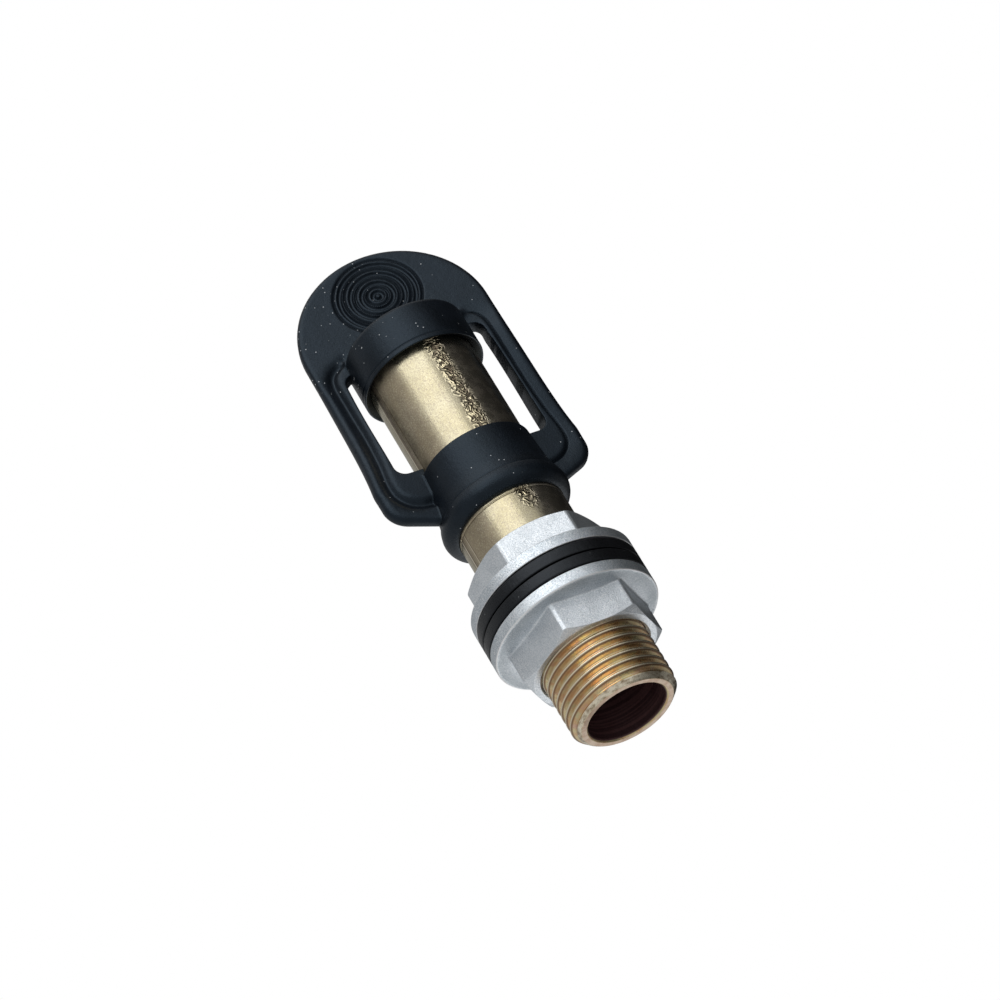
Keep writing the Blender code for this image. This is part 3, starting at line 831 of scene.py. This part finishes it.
def tab_height(points, outline, window, groove):
    """Half the thickness of the cap's flat part at each (x, z) point."""
    x, z = np.abs(points[:, 0]), points[:, 1]
    half = np.column_stack([x, z])
    height = TAB_T + ARM_SWELL * arm_share(z)
    left = points[:, 0] < 0

    # arms: dished towards a fine groove, with a raised rim between the groove and the window
    away = line_distance(half, groove, closed=False)
    enclosed = inside(half, np.vstack([groove, [(0, 103.9), (0, 61.9)]]))
    depth, outer_reach, inner_reach = (np.where(left, a, b) for a, b in zip(LEFT_DISH, RIGHT_DISH))
    dish = -depth * np.exp(-(away / outer_reach) ** 2)
    rim = ARM_RIM - (depth + ARM_RIM) * np.exp(-(away / inner_reach) ** 2)
    height += np.where(enclosed, rim, dish)
    height -= np.where(left, 0.0, RIGHT_LINE[0]) * np.exp(-(away / RIGHT_LINE[1]) ** 2)

    # grip rings: a wide and a narrow groove in turn
    out = np.hypot(points[:, 0] - GRIP_CENTRE[0], z - GRIP_CENTRE[1])
    for k in range(GRIP_COUNT):
        for first, deep, half_width, power in (GRIP_WIDE, GRIP_NARROW):
            height -= deep * np.exp(-((out - first - GRIP_PITCH * k) / half_width) ** power)

    # moulded fillets up to the cup and the ring
    cup_gap = np.hypot(np.maximum(x - CUP_R + 0.1, 0), np.maximum(z - CUP_HIGH, 0))
    cup_share = np.clip((z - CUP_FILLET_Z[0]) / (CUP_FILLET_Z[1] - CUP_FILLET_Z[0]), 0, 1)
    height += cup_share * fillet(cup_gap, CUP_FILLET)
    ring_gap = np.maximum(x - ring_radius(z) + 0.1, 0) + np.maximum(z - RING_TOP_Z, 0)
    height += np.where(z < RING_FILLET_TOP, fillet(ring_gap, RING_FILLET), 0)

    # rounded edges
    rim_off = line_distance(points, outline)
    hole_off = line_distance(points, window)
    edge_r = TAB_EDGE_R + ARM_EDGE_SWELL * arm_share(z)
    for off, radius in ((rim_off, edge_r), (hole_off, WINDOW_EDGE_R)):
        near = np.clip(radius - off, 0, radius)
        height -= radius - np.sqrt(radius ** 2 - near ** 2)
    return np.maximum(height, 0.25)


def relief_points(outline, window, groove):
    """Rows of points close together along the edges, the grooves, the fillets and the grip rings."""
    lines = [offset_line(outline, distance) for distance in (0.06, 0.2, 0.42, 0.7, 1.05, 1.5)]
    lines += [offset_line(window, -distance) for distance in (0.05, 0.16, 0.32, 0.55, 0.85)]
    for distance in (-1.1, -0.75, -0.5, -0.3, -0.14, 0.0, 0.14, 0.3, 0.5, 0.8, 1.2, 1.7):
        line = offset_line(groove, distance, closed=False)
        lines += [line, line * (-1, 1)]
    x_cup = np.arange(-13.4, 13.5, 0.4)
    z_cup = np.arange(CUP_LOW, CUP_HIGH, 0.4)
    z_ring = np.arange(57.0, 68.6, 0.4)
    for gap in (0.03, 0.12, 0.27, 0.47, 0.7, 0.95, 1.3, 1.7, 2.1):
        x = CUP_R - 0.1 + gap
        lines.append(np.column_stack([x_cup, np.full(len(x_cup), CUP_HIGH + gap)]))
        for side in (-1, 1):
            lines.append(np.column_stack([np.full(len(z_cup), side * x), z_cup]))
            lines.append(np.column_stack([side * (ring_radius(z_ring) - 0.1 + gap), z_ring]))
    for k in range(2, 86):
        r = k * 0.125
        lines.append(np.array(circle_points(GRIP_CENTRE, r, 0, TAU, max(8, round(TAU * r / 0.42)))[:-1]))
    return np.vstack(lines)


def tab_points(outline, window, groove):
    """Points for the flat part's surface: the relief's rows and an even grid between them."""
    fine = relief_points(outline, window, groove)
    step, cell = 0.62, 0.42
    grid = [(x + (row % 2) * step / 2, z)
            for row, z in enumerate(np.arange(CAP_LOW, CAP_HIGH, step * 0.87))
            for x in np.arange(-25, 25, step)]
    taken = {(math.floor(x / cell), math.floor(z / cell)) for x, z in fine}
    free = [p for p in grid if (math.floor(p[0] / cell), math.floor(p[1] / cell)) not in taken]
    points = np.vstack([fine, free])
    points = points[inside(points, outline) & ~inside(points, window)]
    for edge in (outline, window):
        points = points[line_distance(points, edge) > 0.03]
    _, first = np.unique(np.round(points / 0.07), axis=0, return_index=True)
    return points[np.sort(first)]


def tab_plate():
    """The cap's flat part as one closed mesh: two relief surfaces joined round their edges."""
    outline = tab_outline()
    window = window_outline()
    groove = smooth_path(ARM_GROOVE, 0.4)
    free = tab_points(outline, window, groove)
    flat = np.vstack([outline, window, free])
    edges = []
    for start, count in ((0, len(outline)), (len(outline), len(window))):
        edges += [(start + k, start + (k + 1) % count) for k in range(count)]
    verts, _, faces, _, _, _ = delaunay_2d_cdt([Vector(p) for p in flat], edges, [], 0, 1e-4)
    flat = np.array([tuple(v) for v in verts])
    height = tab_height(flat, outline, window, groove)
    centres = np.array([flat[list(f)].mean(axis=0) for f in faces])
    solid = inside(centres, outline) & ~inside(centres, window)
    bm = bmesh.new()
    draft = WINDOW_DRAFT * np.clip(1 - line_distance(flat, window) / 1.5, 0, 1)
    draft *= arm_share(flat[:, 1]) * (flat[:, 0] > 0)
    front = [bm.verts.new((x, -h, z)) for (x, z), h in zip(flat, height)]
    back = [bm.verts.new((x - d, h, z)) for (x, z), h, d in zip(flat, height, draft)]
    for face, use in zip(faces, solid):
        if use:
            bm.faces.new([front[i] for i in face])
            bm.faces.new([back[i] for i in reversed(face)])
    rim = [e for e in bm.edges if len(e.link_faces) == 1 and e.verts[0].co.y < 0]
    index = {v: k for k, v in enumerate(front)}
    for edge in rim:
        a, b = (index[v] for v in edge.verts)
        bm.faces.new((front[a], front[b], back[b], back[a]))
    loose = [v for v in bm.verts if not v.link_faces]
    bmesh.ops.delete(bm, geom=loose, context="VERTS")
    bmesh.ops.recalc_face_normals(bm, faces=bm.faces)
    return bm


def combine(obj, other, operation):
    """Applies one exact Boolean to obj and removes the other object."""
    modifier = obj.modifiers.new("join", "BOOLEAN")
    modifier.object = other
    modifier.operation = operation
    modifier.solver = "EXACT"
    evaluated = obj.evaluated_get(bpy.context.evaluated_depsgraph_get())
    result = bpy.data.meshes.new_from_object(evaluated)
    obj.modifiers.clear()
    obj.data = result
    bpy.data.objects.remove(other, do_unlink=True)


def rubber_cap():
    """Cup, tab, arms and ring in one moulding, with the arms' slight twist."""
    cup = rounded([(0, CUP_HIGH), (CUP_R, CUP_HIGH, 1.7), (CUP_R, CUP_LINE_Z + CUP_LINE_HALF, 0.12),
                   (CUP_R - CUP_LINE_DEPTH, CUP_LINE_Z, 0.12), (CUP_R, CUP_LINE_Z - CUP_LINE_HALF, 0.12),
                   (CUP_R, CUP_LOW, 0.3), (CUP_R - CUP_LIP, CUP_LOW, 0.15),
                   (CAP_BORE_R - 0.1, CUP_MOUTH_Z), (0, CUP_MOUTH_Z)], steps=8)
    ring = rounded([(0, RING_TOP_Z), (12.4, RING_TOP_Z), *RING_PROFILE, (12.2, RING_LOW_Z),
                    (0, RING_LOW_Z)], steps=4)
    bore = rounded([(0, CAP_CUT_Z), (CAP_BORE_R, CAP_CUT_Z), (CAP_BORE_R, CUP_LOW, 0.1),
                    (CAP_BORE_R, CUP_FLOOR, 0.6), (0, CUP_FLOOR)])
    body = mesh_object("cap_body", tab_plate())
    for name, profile, operation in (("cup", cup, "UNION"), ("ring", ring, "UNION"),
                                     ("bore", bore, "DIFFERENCE")):
        turned = lathe(profile, closed=False)
        bmesh.ops.recalc_face_normals(turned, faces=turned.faces)
        combine(body, mesh_object(name, turned), operation)
    bm = bmesh.new()
    bm.from_mesh(body.data)
    bpy.data.objects.remove(body, do_unlink=True)
    for vert in bm.verts:
        share = min(1.0, max(0.0, (vert.co.z - TWIST_Z[0]) / (TWIST_Z[1] - TWIST_Z[0])))
        turn = CAP_TWIST * (1 - 2 * share * share * (3 - 2 * share))
        vert.co = Matrix.Rotation(turn, 3, "Z") @ vert.co
    return piece("cap_moulding", bm, "rubber_cap", CAP_RUBBER, 38)


# ---- Centre contact ----

def contact_spring():
    """A coil of round wire whose end turns lie flat."""
    low, high = cad_range("contact_spring")
    bm = bmesh.new()
    sides, steps = 12, 48
    total = SPRING_TURNS * steps
    climb = high - low - 2 * SPRING_WIRE
    rings = []
    for i in range(total + 1):
        share = i / total
        eased = share - math.sin(TAU * share) / TAU * SPRING_EASE
        angle = TAU * i / steps
        out = Vector((math.cos(angle), math.sin(angle), 0))
        centre = out * SPRING_R + Vector((0, 0, low + SPRING_WIRE + climb * eased))
        rings.append([bm.verts.new(centre + out * SPRING_WIRE * math.cos(TAU * k / sides)
                                   + Vector((0, 0, SPRING_WIRE * math.sin(TAU * k / sides))))
                      for k in range(sides)])
    for lower, upper in zip(rings, rings[1:]):
        bridge(bm, lower, upper)
    bm.faces.new(rings[0])
    bm.faces.new(rings[-1])
    spring = piece("spring_coil", bm, "contact_spring", STEEL, 60)
    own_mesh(spring)


def turned_piece(name, node, material, points, closed=True):
    """A piece turned from a profile of (r, z, rounding) points."""
    profile = rounded(points, closed)
    return piece(name, lathe(profile, closed, 96), node, material)


def centre_contact():
    """Insulator with its O-ring, plunger, base, post and washer, all inside the tube."""
    low, high = cad_range("contact_insulator")
    turned_piece("insulator_sleeve", "contact_insulator", PLASTIC, [
        (SLEEVE_BORE_R, low, 0.2), (SLEEVE_R, low, 0.2), (SLEEVE_R, ORING_Z - 1.1, 0.1),
        (6.5, ORING_Z - 1.1, 0.15), (6.5, ORING_Z + 1.1, 0.15), (SLEEVE_R, ORING_Z + 1.1, 0.1),
        (SLEEVE_R, high, 0.3), (NOSE_HOLE_R + 0.8, high, 0.15), (NOSE_HOLE_R, high - 0.8, 0.15),
        (NOSE_HOLE_R, STEP_Z, 0.1), (SLEEVE_BORE_R, STEP_Z, 0.1)])
    low, high = cad_range("insulator_plug")
    turned_piece("insulator_base", "insulator_plug", PLASTIC, [
        (POST_HOLE_R, low, 0.15), (SLEEVE_R, low, 0.3), (SLEEVE_R, BASE_STEP_Z, 0.2),
        (SLEEVE_BORE_R - 0.3, BASE_STEP_Z, 0.1), (SLEEVE_BORE_R - 0.3, high, 0.25),
        (POST_HOLE_R, high, 0.15)])
    piece("contact_o_ring", lathe(circle_points((ORING_R, ORING_Z), ORING_WIRE, 0, TAU, 20)[:-1]),
          "insulator_o_ring", SEAL_RUBBER)
    low, high = cad_range("contact_plunger")
    turned_piece("plunger_pin", "contact_plunger", BRASS, [
        (0, low), (2.2, low, 0.4), (2.2, COLLAR_LOW_Z, 0.05), (4.2, COLLAR_LOW_Z, 0.25),
        (4.2, STEP_Z - 0.3, 0.25),
        (2.7, STEP_Z - 0.3, 0.1), (2.7, high - 1.2, 0.5), (2.1, high - 0.4, 0.4), (1.0, high, 0.5),
        (0, high)], closed=False)
    low, high = cad_range("terminal_post")
    collar_low, collar_high = POST_COLLAR_Z
    turned_piece("terminal_rivet", "terminal_post", BRASS, [
        (0, low), (2.6, low, 0.55), (2.6, POST_HEAD_Z, 0.15), (1.6, POST_HEAD_Z, 0.05),
        (1.6, collar_low, 0.1), (4.2, collar_low, 0.2), (4.2, collar_high, 0.2),
        (2.2, collar_high, 0.05), (2.2, high, 0.4), (0, high)], closed=False)
    low, high = cad_range("terminal_washer")
    turned_piece("spring_washer", "terminal_washer", STEEL, [
        (POST_HOLE_R, low, 0.1), (4.0, low, 0.2), (4.0, high, 0.2), (POST_HOLE_R, high, 0.1)])


spigot_tube()
flange_nut("upper_nut", "upper_flange_nut", UPPER_HEX_TURN, False)
flange_nut("lower_nut", "lower_flange_nut", LOWER_HEX_TURN, True)
seal("upper_seal_ring", "upper_seal")
seal("lower_seal_ring", "lower_seal")
rubber_cap()
contact_spring()
centre_contact()

for node, material in (("retaining_clip", STEEL), ("blade_terminal", TINNED)):
    for place in frame["nodes"][node].material_slots:
        place.material = material


# ---- Camera, floor and light ----

CAMERA_AZIMUTH = math.radians(-19.0)
CAMERA_ELEVATION = math.radians(-31.01)
CAMERA_ROLL = math.radians(-31.34)
CAMERA_AIM = (-8.27, -24.82, 42.25)
CAMERA_DISTANCE = 1000.0
CAMERA_LENS = 180.0

FLOOR_R = 3.0  # in metres
FLOOR_Z = -0.0006  # in metres, just clear of the tube's end
FLOOR_GLOW = 0.28

KEY_DIRECTION = (-115, 33)  # azimuth and elevation in degrees
KEY_AIM = Vector((0, 0, 0.06))  # the middle of the object, in metres like the next two
KEY_DISTANCE = 0.6
KEY_SIZE = (0.52, 0.95)
KEY_POWER = 1.85

# Soft light round the object: (azimuth in degrees, brightness), above and below the horizon
HIGH_PANELS = ((-180, 0.32), (-150, 0.38), (-135, 0.5), (-86, 0.85), (-62, 0.78), (-50, 0.34),
               (-42, 0.06), (-10, 0.03), (30, 0.010), (60, 0.02), (82, 0.40), (110, 0.36),
               (135, 0.40), (158, 0.48), (180, 0.32))
LOW_PANELS = ((-180, 0.50), (-110, 0.50), (-60, 0.55), (-30, 0.12), (10, 0.08), (40, 0.35), (71, 1.2),
              (95, 0.7), (120, 0.50), (180, 0.50))
LOW_TO_HIGH = (-0.35, 0.15)  # one fades into the other over these directions' Z
OVERHEAD = 0.5
OVERHEAD_Z = (0.75, 0.95)


def direction(azimuth, elevation):
    """Unit vector that points from the object towards an azimuth and elevation, in degrees."""
    a, e = math.radians(azimuth), math.radians(elevation)
    return Vector((math.cos(e) * math.cos(a), math.cos(e) * math.sin(a), math.sin(e)))


def photo_camera():
    """The camera at the photograph's viewing angle, from its azimuth, elevation and roll."""
    level = Vector((math.cos(CAMERA_AZIMUTH), math.sin(CAMERA_AZIMUTH), 0))
    back = direction(math.degrees(CAMERA_AZIMUTH) - 90, math.degrees(CAMERA_ELEVATION))
    upright = back.cross(level)
    c, s = math.cos(CAMERA_ROLL), math.sin(CAMERA_ROLL)
    right = level * c + upright * s
    up = upright * c - level * s
    matrix = Matrix((right, up, back)).transposed().to_4x4()
    matrix.translation = (Vector(CAMERA_AIM) + back * CAMERA_DISTANCE) * MM
    data = bpy.data.cameras.new("photo_camera")
    data.lens = CAMERA_LENS
    data.sensor_width = 36.0
    data.clip_start = 0.01
    camera = linked("photo_camera", data)
    camera.matrix_world = matrix
    bpy.context.scene.camera = camera


def key_light():
    """A soft box that faces the middle of the object."""
    data = bpy.data.lights.new("key", "AREA")
    data.shape = "RECTANGLE"
    data.size, data.size_y = KEY_SIZE
    data.energy = KEY_POWER
    light = linked("key", data)
    towards = direction(*KEY_DIRECTION)
    light.location = KEY_AIM + towards * KEY_DISTANCE
    light.rotation_euler = towards.to_track_quat("Z", "Y").to_euler()
    light.visible_camera = False


def world_ramp(tree, azimuth, panels):
    """Brightness round the horizon from (azimuth in degrees, brightness) stops."""
    ramp = add(tree, "ValToRGB", {0: azimuth})
    stops = ramp.color_ramp.elements
    while len(stops) < len(panels):
        stops.new(0.5)
    for stop, (degrees, brightness) in zip(stops, panels):
        stop.position = (degrees + 180) / 360
        stop.color = rgb(brightness, brightness, brightness)
    return ramp.outputs[0]


def studio_world():
    """White to the camera; to the object, panels of soft light that fade into each other."""
    world = bpy.data.worlds.new("studio")
    world.use_nodes = True
    tree = world.node_tree
    tree.nodes.clear()
    towards = add(tree, "TexCoord").outputs["Generated"]
    parts = add(tree, "SeparateXYZ", {0: towards})
    turn = calculate(tree, "ARCTAN2", parts.outputs["Y"], parts.outputs["X"])
    azimuth = add(tree, "MapRange", {"Value": turn, "From Min": -math.pi, "From Max": math.pi}).outputs[0]
    high = world_ramp(tree, azimuth, HIGH_PANELS)
    low = world_ramp(tree, azimuth, LOW_PANELS)
    rise = spread(tree, parts.outputs["Z"], *LOW_TO_HIGH)
    around = mix(tree, rise, low, high)
    overhead = spread(tree, parts.outputs["Z"], *OVERHEAD_Z)
    around = mix(tree, overhead, around, rgb(OVERHEAD, OVERHEAD, OVERHEAD))
    path = add(tree, "LightPath")
    dim = add(tree, "Background", {"Color": around, "Strength": 1.0})
    bright = add(tree, "Background", {"Color": rgb(1, 1, 1), "Strength": 1.0})
    mixed = add(tree, "MixShader", {0: path.outputs["Is Camera Ray"], 1: dim.outputs[0],
                                    2: bright.outputs[0]})
    add(tree, "OutputWorld", {0: mixed.outputs[0]})
    bpy.context.scene.world = world


def studio_floor():
    """A pale disc just under the object, clear from below so that the photo camera sees past it."""
    bm = bmesh.new()
    bmesh.ops.create_circle(bm, cap_ends=True, segments=96, radius=FLOOR_R)
    bmesh.ops.translate(bm, verts=bm.verts, vec=(0, 0, FLOOR_Z))
    floor = mesh_object("floor", bm)
    material, tree, where = surface("pale_floor", Roughness=0.9, Emission_Color=rgb(1, 1, 1),
                                    Emission_Strength=FLOOR_GLOW)
    cloud = noise(tree, where, 0.01, 3.0)
    coat(material, Base_Color=mix(tree, cloud, rgb(0.80, 0.80, 0.80), rgb(0.84, 0.84, 0.84)))
    below = add(tree, "NewGeometry").outputs["Backfacing"]
    clear = add(tree, "BsdfTransparent").outputs[0]
    pale = tree.nodes["Principled BSDF"].outputs[0]
    mixed = add(tree, "MixShader", {0: below, 1: pale, 2: clear})
    tree.links.new(mixed.outputs[0], tree.nodes["Material Output"].inputs[0])
    floor.data.materials.append(material)
    floor.visible_shadow = False
    floor.visible_diffuse = False
    floor.visible_glossy = False


photo_camera()
studio_world()
studio_floor()
key_light()
bpy.context.scene.view_settings.view_transform = "Standard"
